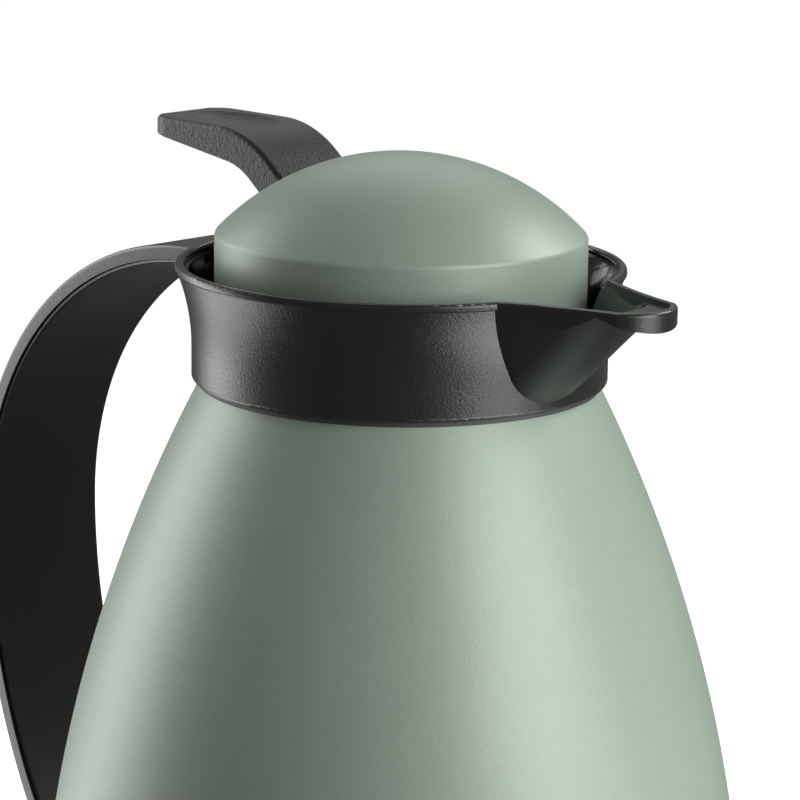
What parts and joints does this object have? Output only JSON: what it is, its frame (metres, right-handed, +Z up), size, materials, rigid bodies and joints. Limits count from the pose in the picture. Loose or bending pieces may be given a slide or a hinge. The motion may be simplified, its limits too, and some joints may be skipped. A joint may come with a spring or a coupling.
{
  "type": "thermal beverage server",
  "caption": "Teardrop vacuum jug with a glass flask, a flared pouring collar with an open spout, a loop handle and a sprung domed lid that a thumb lever tips up.",
  "frame": {"origin": "centre of the circle that it stands on, on the jug's vertical axis", "axes": "+Z up along the jug's axis, +X towards the spout, handle towards -X"},
  "size_m": [0.1878, 0.147, 0.2355],
  "materials": {
    "green_shell": "satin sage-green lacquer",
    "black_plastic": "fine-grained satin black",
    "grey_rubber": "plain dark grey",
    "silicone": "smooth, translucent",
    "dark_rubber": "matt black",
    "flask_glass": "silvered double wall",
    "foam": "rigid insulating foam",
    "steel": "plain steel"
  },
  "bodies": {
    "jug": {"base_cap": "black_plastic", "base_ring": "black_plastic", "body_shell": "green_shell", "bracket_screws": "steel", "collar": "black_plastic", "flask_cushion": "dark_rubber", "foot_ring": "dark_rubber", "handle_bracket": "black_plastic", "handle_cover": "black_plastic", "handle_foot_screw": "steel", "handle_shell": "black_plastic", "handle_top_screws": "steel", "hinge_pin": "steel", "hinge_spring": "steel", "neck_gasket": "grey_rubber", "neck_seal": "silicone", "vacuum_flask": "flask_glass"},
    "lid": {"lid_dome": "green_shell", "lid_carrier": "black_plastic", "thumb_lever": "black_plastic", "lever_screws": "steel", "lid_plug": "black_plastic", "plug_insulation": "foam", "plug_seal": "silicone"}
  },
  "joints": [
    {"name": "lid_hinge", "type": "hinge", "parent": "jug", "child": "lid", "pos_m": [-0.038, 0, 0.2084], "axis": [0, -1, 0], "range_deg": [0, 45], "stiffness_Nm_per_rad": 0.1, "springref_deg": -34.38, "deforming": ["hinge_spring"]}
  ]
}
